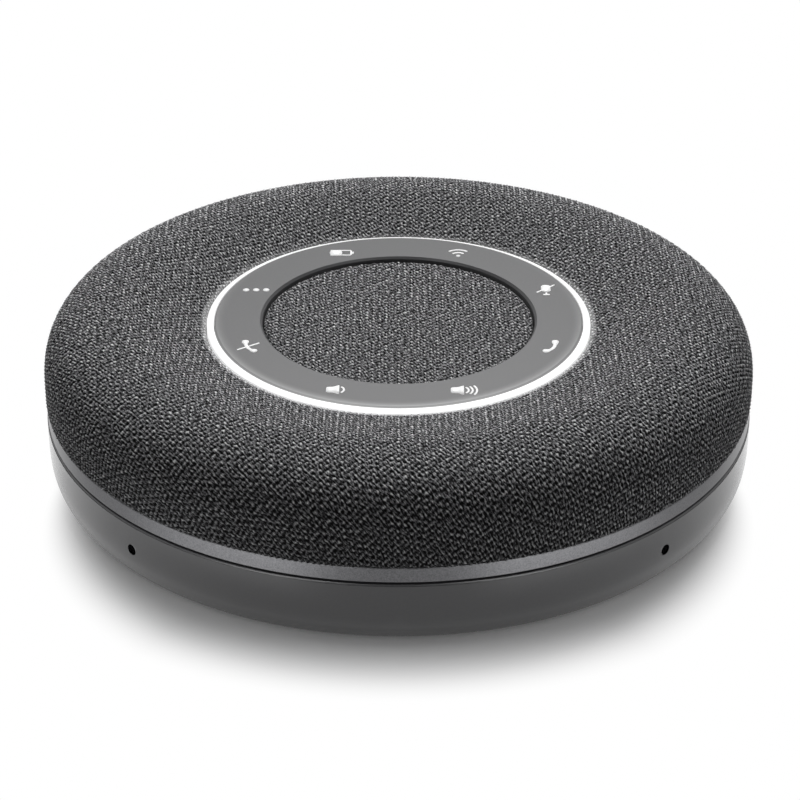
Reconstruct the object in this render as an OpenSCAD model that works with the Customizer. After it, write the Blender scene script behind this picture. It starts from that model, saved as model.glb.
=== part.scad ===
// Conference speakerphone: a round table unit with a fabric dome, a ring of touch keys and a tapered base.
// Units are millimetres. The origin is on the table under the centre, +Z is up and the front looks along -Y.

/* [Casing] */
// Radius of the fabric dome where it is widest
dome_r = 66; // [62:0.5:72]
// Height of the dome's crest above the base's lower edge
crest_h = 31.4; // [30:0.1:36]
// Radius of the crest circle
crest_r = 51; // [49:0.5:55]
// Squareness of the shoulder, where 2 is an ellipse
shoulder_n = 2.5; // [2.2:0.1:4.5]
// Height of the upright wall under the shoulder
upright_h = 3.9; // [0.5:0.1:6]
// Curve of the dish inside the crest, where 1 is a cone and 2 a parabola
dish_n = 1.25; // [1.1:0.05:2]
// How far the fabric bulges past the trim
fabric_bulge = 0.4; // [0.2:0.05:0.8]
// Height above the trim at which the dome is widest
bulge_h = 0.45; // [0.2:0.05:1.5]
// Thickness of the stretched fabric
fabric_t = 1.0; // [0.6:0.1:1.4]
// Wall of the slotted dome under the fabric
grille_t = 1.6; // [1.2:0.1:2.4]
// Number of slots round the dome
slot_n = 48; // [36:4:60]
// Width of a slot
slot_w = 1.6; // [1:0.1:2]
// Length of a slot
slot_len = 12; // [8:0.5:13]

/* [Trim] */
// How far the trim stands back from the widest radius
trim_step = 0.25; // [0.1:0.05:0.8]
// Height of the trim band
trim_h = 2.75; // [1.8:0.05:4]
// Draw-in of the trim band from its lower to its upper edge
trim_draw = 0.18; // [0.05:0.01:0.4]
// Radial width of the trim ring
trim_w = 3.4; // [3:0.1:3.8]
// Height of the dark gasket between trim and base
gasket_h = 0.4; // [0.3:0.02:1]
// Depth by which the gasket stands back from the base's rounded edge
gasket_recess = 0.3; // [0.1:0.05:0.6]

/* [Base] */
// How far the base's upper edge stands back from the widest radius
base_step = 0.05; // [0:0.05:0.6]
// Draw-in of the base from its upper to its lower edge
base_taper = 2.45; // [1:0.05:4]
// Height of the base shell
base_h = 11.9; // [11:0.1:14]
// Wall of the base shell
base_wall = 2.4; // [1.8:0.1:3]
// Floor of the base shell
base_floor = 2.2; // [1.8:0.1:3]
// Bevel round the base's lower edge
base_bevel = 0.25; // [0.2:0.05:1.5]
// Radius of the base's rounded upper edge
top_round = 0.5; // [0.2:0.05:1]
// Height by which the rubber foot lifts the base
foot_h = 0.6; // [0.4:0.1:3]
// Radius of the middle of the rubber foot
foot_r = 54; // [50:0.5:57]
// Radial width of the rubber foot
foot_w = 7; // [6:0.5:8]
// Depth of the foot's groove in the base
foot_sunk = 0.8; // [0.4:0.1:1]

/* [Key ring] */
// Inner radius of the control ring
ring_in_r = 25.33; // [24.5:0.05:26]
// Outer radius of the control ring
ring_out_r = 34.19; // [33:0.05:35]
// Depth of the control ring's face below the crest
ring_depth = 3.03; // [1.5:0.05:4]
// Plate thickness of the control ring
ring_t = 1.5; // [1:0.1:1.8]
// Height of the control ring with its skirts
ring_h = 2.4; // [2.2:0.1:3]
// Thickness of the control ring's skirts
skirt_t = 0.8; // [0.6:0.1:1.2]
// Bevel on the control ring's outer edge
ring_bevel = 0.25; // [0.1:0.05:0.4]
// Bevel on the control ring's inner edge
bore_bevel = 0.4; // [0.1:0.05:0.6]
// Distance from the control ring's edge to the light ring's outer edge
light_w = 1.45; // [1.35:0.05:2]
// Gap between the control ring and the light ring
light_gap = 0.4; // [0.2:0.05:0.6]
// Fall of the light ring's face from its inner to its outer edge
light_fall = 0.48; // [0:0.02:0.8]
// Number of touch keys
key_n = 8; // [4:1:10]
// Angle that a touch pad covers
pad_angle = 30; // [15:1:34]
// Number of light sources under the light ring
led_n = 24; // [12:4:36]
// Thickness of the ring's circuit board
ring_board_t = 1; // [0.8:0.1:1.6]
// Thickness of the shelf under the ring's board
shelf_t = 1.2; // [1:0.1:2]
// Recess of the centre fabric below the control ring
disc_recess = 0.7; // [0.3:0.05:1]
// Thickness of the centre fabric
disc_fabric_t = 0.8; // [0.5:0.1:1.2]
// Thickness of the centre grille
disc_grille_t = 1.2; // [0.8:0.1:1.4]
// Diameter of the holes in the centre grille
disc_hole_d = 2; // [1:0.1:2.4]
// Spacing of the holes in the centre grille
disc_pitch = 3.5; // [3.2:0.1:5]

/* [Chassis] */
// Thickness of the chassis deck
deck_t = 2; // [1.6:0.1:2.6]
// Radius of a pillar
pillar_r = 3.6; // [3.2:0.1:4.2]
// Angle of the pillars from the left and right axis
pillar_angle = 20; // [16:1:24]
// Radius of the circle of pillars under the dome
dome_pillar_circle = 45; // [42:0.5:47]
// Wall of the speaker tower
tower_t = 2; // [1.6:0.1:2.4]
// Thickness of the stiffening ribs
rib_t = 1.2; // [0.8:0.1:1.6]
// Height of the ribs on the deck
deck_rib_h = 2.5; // [1.5:0.1:4]

/* [Loudspeaker] */
// Outer radius of the cone
cone_r = 19; // [17:0.25:20]
// Radial width of the surround
surround_w = 3.5; // [3:0.1:4]
// Width of the basket's flange outside the surround
flange_w = 3.5; // [3:0.1:4]
// Thickness of the basket's sheet
basket_t = 1; // [0.8:0.1:1.2]
// Room above the flange for the roll and the stroke
head_room = 2.3; // [2:0.1:3.5]
// Stroke of the cone each way
cone_stroke = 1.5; // [0.5:0.1:2]
// Radius of the magnet
magnet_r = 15; // [13:0.25:16]
// Height of the magnet
magnet_h = 4; // [3:0.1:4.5]
// Thickness of the yoke and of the front plate
plate_t = 2; // [1.6:0.1:2.5]
// Radius of the pole
pole_r = 5.9; // [5:0.1:6.5]
// Wall of the coil's paper tube
former_t = 0.25; // [0.2:0.05:0.4]
// Thickness of the winding
winding_t = 0.35; // [0.25:0.05:0.5]
// Running gap on each side of the coil
coil_gap = 0.4; // [0.3:0.05:0.6]
// Thickness of the cone's paper
cone_t = 0.5; // [0.4:0.05:0.8]
// Room between the spider and the cone's neck beyond the stroke
neck_gap = 0.8; // [0.5:0.1:1.5]
// Room under the motor
motor_gap = 1.2; // [0.8:0.1:2]

/* [Electronics] */
// Height of the main board above the base's floor
board_lift = 2; // [1.5:0.1:3]
// Thickness of the main board
board_t = 1; // [0.8:0.1:1.6]
// Width of the main board
board_w = 72; // [66:1:74]
// Front edge of the main board, measured from the centre
board_front = 18; // [17.5:0.25:20]
// Width of the battery
battery_w = 50; // [44:1:52]
// Length of the battery
battery_l = 34; // [30:1:35]
// Height of the battery
battery_h = 8; // [6:0.5:9]
// Foam under the battery
pad_t = 0.5; // [0.3:0.1:1]
// Width of the ribbon between the boards
ribbon_w = 8; // [6:0.5:10]
// Distance of the ribbon behind the centre
ribbon_y = 31; // [30:0.25:32]
// Radius of a wire
wire_r = 0.7; // [0.5:0.05:0.9]

/* [Socket and button] */
// Length of the socket's shell
usb_len = 7.35; // [7:0.05:8]
// Sheet of the socket's shell
usb_t = 0.3; // [0.2:0.05:0.35]
// Angle of the power button, counted from the right
button_angle = 68; // [64:1:72]
// Width of the power button
button_w = 9; // [7:0.5:10]
// Height of the power button
button_h = 3.4; // [2.6:0.1:3.6]
// How far the power button stands proud
button_proud = 0.3; // [0:0.05:0.6]
// Travel of the power button
button_travel = 0.4; // [0.2:0.05:0.6]
// Width of the lip that keeps the button in
button_lip = 0.7; // [0.5:0.05:0.9]

/* [Microphones] */
// Diameter of a microphone hole
mic_d = 1.8; // [1.2:0.1:2.2]
// Height of the microphone holes above the base's lower edge
mic_h = 5.9; // [5:0.1:6.5]
// Angle of the microphones from the left and right axis
mic_angle = 44; // [40:1:48]
// Width of a microphone's rubber boot
boot_w = 6; // [5:0.1:6.4]
// Thickness of a microphone's rubber boot
boot_t = 2.4; // [1.8:0.1:3]

/* [Clearances] */
// Gap between nested pieces that do not move
seat_gap = 0.1; // [0.05:0.01:0.2]
// Gap round the power button
button_gap = 0.15; // [0.1:0.01:0.25]
// Gap round the centre disc
disc_gap = 0.33; // [0.2:0.01:0.5]
// Gap between a screw and its hole
screw_gap = 0.05; // [0.02:0.01:0.1]

/* [Hidden] */
$fn = 96;
eps = 0.01;
fabric_steps = 16;
fabric_bands = 8;
grille_steps = 8;
grille_bands = 2;
wire_sides = 8;
wire_rings = 8;
over = 5;

// Heights, from the table up
base_z = foot_h;
floor_z = base_z + base_floor;
base_top_z = base_z + base_h;
crest_z = base_z + crest_h;
trim_z = base_top_z + gasket_h;
trim_top_z = trim_z + trim_h;
dome_z = trim_top_z + bulge_h;
upright_z = dome_z + upright_h;
deck_z = trim_z;
deck_top_z = deck_z + deck_t;
ring_z = crest_z - ring_depth;
dish_z = ring_z - light_fall;
ring_board_top_z = ring_z - ring_h;
shelf_top_z = ring_board_top_z - ring_board_t;
shelf_z = shelf_top_z - shelf_t;
flange_top_z = shelf_z - head_room;
flange_z = flange_top_z - basket_t;
disc_top_z = ring_z - disc_recess;
disc_grille_z = disc_top_z - disc_fabric_t - disc_grille_t;

// Radii of the casing
base_top_r = dome_r - base_step;
base_edge_r = base_top_r - base_taper;
base_lip_r = base_top_r - base_taper * top_round / base_h - top_round;
floor_r = base_edge_r - base_wall;
trim_r = dome_r - trim_step;
trim_in_r = trim_r - trim_w;
deck_r = trim_in_r - seat_gap;
light_in_r = ring_out_r + light_gap;
light_out_r = ring_out_r + light_w;
light_rim_r = light_out_r - 0.4;
light_lift = 0.75;
fabric_in_r = light_out_r + seat_gap;
collar_r = light_out_r + 0.45;
collar_t = 1.4;
ring_board_out_r = collar_r - 2 * seat_gap;
disc_r = ring_in_r - disc_gap;
disc_skirt_t = 0.8;
ring_board_in_r = disc_r + 0.4;
shelf_in_r = disc_r - disc_skirt_t - 1;
grille_inset = fabric_t + seat_gap;
dish_depth = crest_z - dish_z;

// Loudspeaker
surround_out_r = cone_r + surround_w;
flange_r = surround_out_r + flange_w;
tower_r = flange_r;
tower_in_r = tower_r - tower_t;
ear_circle = flange_r + 1.8;
ear_r = 2.4;
boss_step = 0.05;
motor_z = floor_z + motor_gap;
magnet_z = motor_z + plate_t;
plate_z = magnet_z + magnet_h;
plate_top_z = plate_z + plate_t;
former_in_r = pole_r + coil_gap;
former_r = former_in_r + former_t;
coil_r = former_r + winding_t;
plate_bore_r = coil_r + coil_gap;
winding_h = plate_t + 2 * cone_stroke;
former_tail = 0.5;
magnet_bore_r = plate_bore_r + 2;
coil_mid_z = plate_z + plate_t / 2;
basket_floor_r = magnet_r + 1.5;
ledge_z = plate_top_z + basket_t + 0.6;
ledge_t = 0.6;
spider_t = 0.35;
spider_wave = 0.35;
spider_top_z = ledge_z + ledge_t + 2 * spider_wave + spider_t;
roll_t = 0.5;
neck_z = spider_top_z + cone_stroke + neck_gap;
cone_top_z = flange_top_z - 0.1;
cone_depth = cone_top_z - neck_z;
former_top_z = neck_z + cone_t;

// Electronics, with the standard socket's width and height
usb_w = 8.94;
usb_h = 3.16;
board_z = floor_z + board_lift;
board_top_z = board_z + board_t;
board_r = floor_r - 3;
board_tongue = floor_r - 0.7;
tongue_w = 16;
battery_room = 9.1;
battery_y = -(board_front + floor_r - battery_room) / 2;
battery_z = floor_z + pad_t;
cradle_h = 3.5;
standoff_r = 2.5;
grid = board_w / 36;
hole_x = 14.5 * grid;
hole_y = board_front + 2.5 * grid;
board_holes = [[-hole_x, hole_y], [hole_x, hole_y], [0, board_front + 13.5 * grid]];
battery_plug = [10.5 * grid, board_front + 2.75 * grid];
speaker_plug = [-6 * grid, board_front + 2.75 * grid];
ribbon_plug = [0, ribbon_y];
plug_h = 3;
plug_w = 4;
plug_l = 6;
plug_lip = 1.5;
ribbon_t = 0.3;
ribbon_slot = ribbon_t + 0.2;
shield_t = 0.3;
chip_h = 0.9;
usb_z = board_top_z + usb_h / 2;
usb_wall_gap = 0.2;
usb_sunk = 0.6;

// Power button, drawn along +X and turned to its place
switch_h = 4.6;
button_z = board_top_z + switch_h / 2 + 0.3;
button_seat_r = floor_r - 0.8;
button_lip_t = 0.8;
button_back_r = button_seat_r - 0.05 - button_lip_t;
plunger_r = 0.9;
plunger_out = 1;
plunger_in = 0.8;
switch_front_r = button_back_r - plunger_out;
switch_len = 3.6;
switch_w = 6;

// Microphones, drawn along +X and turned to their places
mic_z = base_z + mic_h;
mic_seat_r = floor_r - 1.1;
mic_board_t = 0.8;
mic_can = [1, 3.5, 2.6];
boot_h = 2 * (mic_z - floor_z);

// Screws, with the base's pillars over the foot so that the foot hides their heads
pillar_circle = foot_r;
screw_r = 1.25;
screw_head_r = 2.3;
screw_head_h = 1.5;
small_screw_r = 0.9;
small_head_r = 1.7;
small_head_h = 1.2;
base_boss_h = 3;
base_grip = 5;
dome_grip = 6;
ear_grip = 4.5;
tip_room = 1;
base_boss_top = floor_z + base_boss_h;
groove_z = base_z + foot_sunk;
base_head_z = groove_z + 0.3;

// Outer radius of the tapered base at a height
function base_r_at(z) = base_edge_r + base_taper * (z - base_z) / base_h;

// Inner radius of the base's wall at a height
function base_in_r_at(z) = base_r_at(z) - base_wall;

// Points of the dome's shoulder from the top of its wall to the crest, moved inwards by inset, in n bands
function shoulder(inset, n) = [
    for (i = [0:n])
        let (a = 90 * i / n)
        [
            crest_r + (dome_r - inset - crest_r) * pow(cos(a), 2 / shoulder_n),
            upright_z + (crest_z - inset - upright_z) * pow(sin(a), 2 / shoulder_n)
        ]
];

// Height of the dish between the crest and the light ring, moved inwards by inset
function dish_at(r, inset) =
    crest_z - inset - dish_depth * pow(max(0, crest_r - r) / (crest_r - light_out_r), dish_n);

// Points of the dish from the crest in to a radius, in n bands
function dish(inset, r_in, n) = [
    for (i = [1:n])
        let (r = crest_r - (crest_r - r_in) * i / n)
        [r, dish_at(r, inset)]
];

// Section of a skin that follows the dome between two insets, standing on the trim
function dome_skin(outer, inner, r_in, steps, bands) = concat(
    [[dome_r - fabric_bulge - outer, trim_top_z], [dome_r - outer, dome_z]],
    shoulder(outer, steps),
    dish(outer, r_in, bands),
    [for (i = [bands - 1:-1:0]) dish(inner, r_in, bands)[i]],
    [for (i = [steps:-1:0]) shoulder(inner, steps)[i]],
    [[dome_r - inner, dome_z], [dome_r - fabric_bulge - inner, trim_top_z]]
);

// Repeats its children at equal angles
module ring_of(n, start = 0) {
    for (i = [0:n - 1])
        rotate([0, 0, start + 360 * i / n])
            children();
}

// Places its children on the four base pillars
module at_pillars() {
    for (a = [pillar_angle, 180 - pillar_angle, 180 + pillar_angle, -pillar_angle])
        rotate([0, 0, a])
            translate([pillar_circle, 0, 0])
                children();
}

// Places its children at the four microphones, alike on the left and the right
module at_mics() {
    for (a = [mic_angle, 180 - mic_angle, 180 + mic_angle, -mic_angle])
        rotate([0, 0, a])
            children();
}

// Tube between two radii, from a height up
module tube(r_out, r_in, z, h) {
    translate([0, 0, z])
        difference() {
            cylinder(r = r_out, h = h);
            translate([0, 0, -eps])
                cylinder(r = r_in, h = h + 2 * eps);
        }
}

// Flat bar with round ends, standing along +X: w across Y, h along Z
module pill(w, h, x, len) {
    translate([x, 0, 0])
        rotate([90, 0, 90])
            linear_extrude(len)
                union() {
                    square([w - h, h], center = true);
                    for (s = [-1, 1])
                        translate([s * (w - h) / 2, 0])
                            circle(d = h);
                }
}

// Pan-head screw whose head starts at z = 0 and whose shank points up
module screw(shank_r, head_r, head_h, len) {
    difference() {
        union() {
            cylinder(r = head_r, h = head_h);
            translate([0, 0, head_h - eps])
                cylinder(r = shank_r, h = len + eps);
        }
        for (a = [0, 90])
            rotate([0, 0, a])
                translate([-head_r * 0.6, -head_r * 0.13, -eps])
                    cube([head_r * 1.2, head_r * 0.26, head_h * 0.5]);
    }
}

// Block centred in Y that stands on a height
module block(size, x, y, z) {
    translate([x - size[0] / 2, y - size[1] / 2, z])
        cube(size);
}

// Point and direction on the curve that leaves a towards b and reaches c from b
function bend_at(a, b, c, t) = (1 - t) * (1 - t) * a + 2 * t * (1 - t) * b + t * t * c;
function bend_way(a, b, c, t) = let (d = (1 - t) * (b - a) + t * (c - b)) d / norm(d);

// Ring of points round the curve, square to its direction
function wire_ring(a, b, c, t, r) =
    let (
        way = bend_way(a, b, c, t),
        side = cross(way, [1, 0, 0]) / norm(cross(way, [1, 0, 0])),
        up = cross(way, side)
    )
    [for (k = [0:wire_sides - 1]) bend_at(a, b, c, t) + r * (cos(360 * k / wire_sides) * side
        + sin(360 * k / wire_sides) * up)];

// Wire of radius r along that curve
module wire(a, b, c, r) {
    n = wire_sides;
    points = [for (i = [0:wire_rings]) each wire_ring(a, b, c, i / wire_rings, r)];
    sides = [
        for (i = [0:wire_rings - 1], k = [0:n - 1])
            let (p = i * n + k, q = i * n + (k + 1) % n)
            each [[p, q, p + n], [q, q + n, p + n]]
    ];
    ends = [
        for (k = [1:n - 2])
            each [[0, k + 1, k], [wire_rings * n, wire_rings * n + k, wire_rings * n + k + 1]]
    ];
    polyhedron(points, concat(sides, ends));
}

// Foot and base
module foot_ring() {
    color([0.12, 0.12, 0.13])
        tube(foot_r + foot_w / 2 - seat_gap, foot_r - foot_w / 2 + seat_gap, 0, groove_z);
}

module base_shell() {
    edge = [
        for (a = [0:15:90])
            [base_lip_r + top_round * cos(a), base_top_z - top_round + top_round * sin(a)]
    ];
    color([0.28, 0.28, 0.29])
        difference() {
            union() {
                rotate_extrude()
                    polygon(concat(
                        [
                            [0, base_z],
                            [base_edge_r - base_bevel, base_z],
                            [base_r_at(base_z + base_bevel), base_z + base_bevel]
                        ],
                        edge,
                        [
                            [base_top_r - base_wall, base_top_z],
                            [base_in_r_at(floor_z), floor_z],
                            [0, floor_z]
                        ]
                    ));
                at_pillars()
                    translate([0, 0, floor_z - eps])
                        cylinder(r = pillar_r, h = base_boss_h + eps);
                for (p = board_holes)
                    translate([p[0], p[1], floor_z - eps])
                        cylinder(r = standoff_r, h = board_lift + eps);
                at_mics()
                    wall_seat(mic_seat_r, boot_w + 1.6, boot_h);
                rotate([0, 0, button_angle])
                    wall_seat(button_seat_r, button_w + 4, base_h - base_floor - 1);
                battery_cradle();
            }
            translate([0, 0, base_z - eps])
                tube(foot_r + foot_w / 2, foot_r - foot_w / 2, 0, foot_sunk + eps);
            at_pillars() {
                translate([0, 0, base_z])
                    cylinder(r = screw_head_r + 0.3, h = base_head_z + screw_head_h - base_z);
                translate([0, 0, base_z])
                    cylinder(r = screw_r + 0.3, h = base_boss_h + over);
            }
            for (p = board_holes)
                translate([p[0], p[1], floor_z - 0.8])
                    cylinder(r = small_screw_r + screw_gap, h = board_lift + over);
            at_mics()
                translate([mic_seat_r - over, 0, mic_z])
                    rotate([0, 90, 0])
                        cylinder(d = mic_d, h = 2 * over + base_wall);
            rotate([0, 0, 90])
                translate([0, 0, usb_z])
                    pill(usb_w + 2 * usb_wall_gap, usb_h + 2 * usb_wall_gap, floor_r - over, 3 * over);
            rotate([0, 0, button_angle])
                translate([0, 0, button_z])
                    pill(button_w + 2 * button_gap, button_h + 2 * button_gap, button_seat_r - eps, 3 * over);
        }
}

// Flat seat on the inside of the base's wall, cut to the wall's taper
module wall_seat(r, w, h) {
    intersection() {
        translate([r, -w / 2, floor_z - eps])
            cube([over + base_wall, w, h + eps]);
        translate([0, 0, base_z])
            cylinder(r1 = base_edge_r - base_wall / 2, r2 = base_top_r - base_wall / 2, h = base_h);
    }
}

// Low ribs that hold the battery on three sides
module battery_cradle() {
    side_x = battery_w / 2 + seat_gap;
    end_y = battery_y - battery_l / 2 - seat_gap;
    for (s = [-1, 1])
        block([rib_t, battery_l * 0.6, cradle_h + eps], s * (side_x + rib_t / 2), battery_y, floor_z - eps);
    block([battery_w * 0.5, rib_t, cradle_h + eps], 0, end_y - rib_t / 2, floor_z - eps);
}

module base_screws() {
    under_boss = base_boss_top - base_head_z - screw_head_h;
    color([0.55, 0.55, 0.57])
        at_pillars()
            translate([0, 0, base_head_z])
                screw(screw_r, screw_head_r, screw_head_h, under_boss + base_grip);
}

// Gasket and trim
module base_gasket() {
    color([0.1, 0.1, 0.11])
        tube(base_lip_r - gasket_recess, base_top_r - base_wall + seat_gap, base_top_z, gasket_h);
}

module trim_ring() {
    edge = 0.15;
    color([0.42, 0.42, 0.43])
        rotate_extrude()
            polygon([
                [trim_in_r, trim_z],
                [trim_r - edge, trim_z],
                [trim_r, trim_z + edge],
                [trim_r - trim_draw, trim_top_z - edge],
                [trim_r - trim_draw - edge, trim_top_z],
                [trim_in_r, trim_top_z]
            ]);
}

// Dome, shelf and fabric
module grille_dome() {
    collar_top = dish_at(collar_r, grille_inset) - grille_t / 2;
    pillar_top = dish_at(dome_pillar_circle, grille_inset) - grille_t / 2;
    slot_mid = collar_r + collar_t + 1.5 + slot_len / 2;
    skin = dome_skin(grille_inset, grille_inset + grille_t, collar_r - seat_gap, grille_steps, grille_bands);
    color([0.14, 0.14, 0.15])
        difference() {
            union() {
                rotate_extrude()
                    polygon(skin);
                tube(collar_r + collar_t, collar_r, shelf_z, collar_top - shelf_z);
                tube(collar_r + collar_t / 2, shelf_in_r, shelf_z, shelf_t);
                ring_of(4, 45)
                    translate([dome_pillar_circle, 0, deck_top_z])
                        cylinder(r = pillar_r, h = pillar_top - deck_top_z);
            }
            for (i = [0:slot_n - 1])
                if (abs((360 * i / slot_n) % 90 - 45) > 8)
                    rotate([0, 0, 360 * i / slot_n])
                        translate([slot_mid, 0, shelf_z])
                            dome_slot();
            ring_of(4, 45)
                translate([dome_pillar_circle, 0, deck_top_z - eps])
                    cylinder(r = small_screw_r + screw_gap, h = dome_grip + tip_room);
            block([ribbon_w + 1, 1.6, shelf_t + 2 * eps], 0, ribbon_y, shelf_z - eps);
        }
}

// One slot through the dome, with round ends
module dome_slot() {
    linear_extrude(crest_z - shelf_z)
        union() {
            square([slot_len - slot_w, slot_w], center = true);
            for (s = [-1, 1])
                translate([s * (slot_len - slot_w) / 2, 0])
                    circle(d = slot_w, $fn = 24);
        }
}

module dome_fabric() {
    color([0.2, 0.2, 0.21])
        rotate_extrude()
            polygon(dome_skin(0, fabric_t, fabric_in_r, fabric_steps, fabric_bands));
}

// Key ring and centre disc
module light_ring() {
    color([1, 1, 1])
        rotate_extrude()
            polygon([
                [light_in_r, ring_board_top_z + light_lift],
                [light_rim_r, ring_board_top_z + light_lift],
                [light_rim_r, ring_board_top_z],
                [light_out_r, ring_board_top_z],
                [light_out_r, dish_z],
                [light_in_r, ring_z]
            ]);
}

module control_ring() {
    under = ring_z - ring_t;
    color([0.48, 0.48, 0.49])
        rotate_extrude()
            polygon([
                [ring_in_r, ring_board_top_z],
                [ring_in_r, ring_z - bore_bevel],
                [ring_in_r + bore_bevel, ring_z],
                [ring_out_r - ring_bevel, ring_z],
                [ring_out_r, ring_z - ring_bevel],
                [ring_out_r, ring_board_top_z],
                [ring_out_r - skirt_t, ring_board_top_z],
                [ring_out_r - skirt_t, under],
                [ring_in_r + skirt_t, under],
                [ring_in_r + skirt_t, ring_board_top_z]
            ]);
}

module touch_pads() {
    pad_in_r = ring_in_r + 2 * skirt_t;
    pad_out_r = ring_out_r - 2 * skirt_t;
    color([0.2, 0.2, 0.2])
        ring_of(key_n, 180 / key_n - pad_angle / 2)
            rotate_extrude(angle = pad_angle)
                translate([pad_in_r, ring_board_top_z])
                    square([pad_out_r - pad_in_r, ring_h - ring_t]);
}

module ring_leds() {
    led = [light_rim_r - light_in_r - 2 * seat_gap, 1.6, light_lift - seat_gap];
    color([0.95, 0.93, 0.8])
        ring_of(led_n)
            block(led, (light_rim_r + light_in_r) / 2, 0, ring_board_top_z);
}

module ring_board() {
    color([0.1, 0.3, 0.2])
        tube(ring_board_out_r, ring_board_in_r, shelf_top_z, ring_board_t);
}

module centre_grille() {
    top = disc_top_z - disc_fabric_t;
    rings = floor((disc_r - disc_skirt_t - disc_hole_d) / disc_pitch);
    color([0.14, 0.14, 0.15])
        difference() {
            union() {
                translate([0, 0, disc_grille_z])
                    cylinder(r = disc_r - disc_fabric_t / 2, h = disc_grille_t);
                tube(disc_r - disc_fabric_t / 2, disc_r - disc_skirt_t - disc_fabric_t / 2,
                    shelf_top_z, top - shelf_top_z);
            }
            translate([0, 0, disc_grille_z - eps])
                cylinder(d = disc_hole_d, h = disc_grille_t + 2 * eps, $fn = 24);
            for (k = [1:rings])
                ring_of(6 * k)
                    translate([k * disc_pitch, 0, disc_grille_z - eps])
                        cylinder(d = disc_hole_d, h = disc_grille_t + 2 * eps, $fn = 24);
        }
}

module centre_fabric() {
    round_edge = disc_fabric_t / 3;
    color([0.22, 0.22, 0.23])
        rotate_extrude()
            polygon([
                [0, disc_top_z - disc_fabric_t],
                [disc_r, disc_top_z - disc_fabric_t],
                [disc_r, disc_top_z - round_edge],
                [disc_r - round_edge, disc_top_z],
                [0, disc_top_z]
            ]);
}

// Chassis
module inner_chassis() {
    color([0.16, 0.16, 0.17])
        difference() {
            union() {
                rotate_extrude()
                    polygon([
                        [tower_in_r, deck_z],
                        [deck_r, deck_z],
                        [deck_r, deck_top_z],
                        [tower_r, deck_top_z],
                        [tower_r, flange_z],
                        [tower_in_r, flange_z]
                    ]);
                ring_of(4, 45)
                    translate([ear_circle, 0, deck_z + deck_t / 4])
                        cylinder(r = ear_r, h = flange_z - boss_step - deck_z - deck_t / 4);
                at_pillars()
                    translate([0, 0, base_boss_top])
                        cylinder(r = pillar_r, h = deck_z + deck_t / 2 - base_boss_top);
                ring_of(8, 22.5)
                    translate([tower_r - tower_t / 2, -rib_t / 2, deck_z + deck_t / 2])
                        cube([deck_r - tower_r - 2, rib_t, deck_rib_h + deck_t / 2]);
            }
            at_pillars()
                translate([0, 0, base_boss_top - eps])
                    cylinder(r = screw_r + screw_gap, h = base_grip + tip_room);
            ring_of(4, 45) {
                translate([ear_circle, 0, flange_z - ear_grip - tip_room])
                    cylinder(r = small_screw_r + screw_gap, h = ear_grip + tip_room + eps);
                translate([dome_pillar_circle, 0, deck_z - eps])
                    cylinder(r = small_screw_r + 0.3, h = deck_t + 2 * eps);
            }
            block([ribbon_w + 1, 1.6, deck_t + 2 * eps], 0, ribbon_y, deck_z - eps);
        }
}

module dome_screws() {
    color([0.55, 0.55, 0.57])
        ring_of(4, 45)
            translate([dome_pillar_circle, 0, deck_z - small_head_h])
                screw(small_screw_r, small_head_r, small_head_h, deck_t + dome_grip);
}

// Loudspeaker
module speaker_basket() {
    window_z = ledge_z + ledge_t + 0.5;
    color([0.3, 0.3, 0.31])
        difference() {
            union() {
                rotate_extrude()
                    polygon([
                        [plate_bore_r + 1, plate_top_z],
                        [basket_floor_r, plate_top_z],
                        [surround_out_r, flange_z],
                        [flange_r, flange_z],
                        [flange_r, flange_top_z],
                        [surround_out_r - basket_t, flange_top_z],
                        [basket_floor_r - basket_t, plate_top_z + basket_t],
                        [plate_bore_r + 1, plate_top_z + basket_t]
                    ]);
                tube(basket_floor_r, basket_floor_r - basket_t - 1.6, ledge_z, ledge_t);
                ring_of(4, 45) {
                    translate([ear_circle, 0, flange_z])
                        cylinder(r = ear_r, h = basket_t);
                    translate([surround_out_r + 0.5, -ear_r, flange_z])
                        cube([ear_circle - surround_out_r - 0.5, 2 * ear_r, basket_t]);
                }
            }
            ring_of(6, 30)
                translate([basket_floor_r - 3, -4, window_z])
                    cube([12, 8, flange_z - window_z - 1]);
            ring_of(4, 45)
                translate([ear_circle, 0, flange_z - eps])
                    cylinder(r = small_screw_r + 0.3, h = basket_t + 2 * eps);
        }
}

module speaker_gasket() {
    color([0.1, 0.1, 0.1])
        tube(flange_r - 0.5, surround_out_r + 0.9, flange_top_z, head_room);
}

module speaker_yoke() {
    color([0.5, 0.5, 0.52]) {
        translate([0, 0, motor_z])
            cylinder(r = magnet_r, h = plate_t);
        translate([0, 0, motor_z + plate_t - eps])
            cylinder(r = pole_r, h = plate_top_z - motor_z - plate_t + eps);
    }
}

module speaker_magnet() {
    color([0.18, 0.18, 0.19])
        tube(magnet_r, magnet_bore_r, magnet_z, magnet_h);
}

module speaker_plate() {
    color([0.5, 0.5, 0.52])
        tube(magnet_r - 0.5, plate_bore_r, plate_z, plate_t);
}

module voice_coil() {
    low = coil_mid_z - winding_h / 2;
    color([0.72, 0.43, 0.2]) {
        tube(former_r, former_in_r, low - former_tail, former_top_z - low + former_tail);
        tube(coil_r, former_r - eps, low, winding_h);
    }
}

module speaker_cone() {
    neck_r = former_r + 0.05;
    color([0.2, 0.2, 0.2])
        rotate_extrude()
            polygon([
                [neck_r, neck_z],
                [cone_r - 0.2, cone_top_z - cone_t],
                [cone_r, cone_top_z - cone_t],
                [cone_r, cone_top_z],
                [cone_r - 0.6, cone_top_z],
                [neck_r, neck_z + cone_t + 0.2]
            ]);
}

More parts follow.
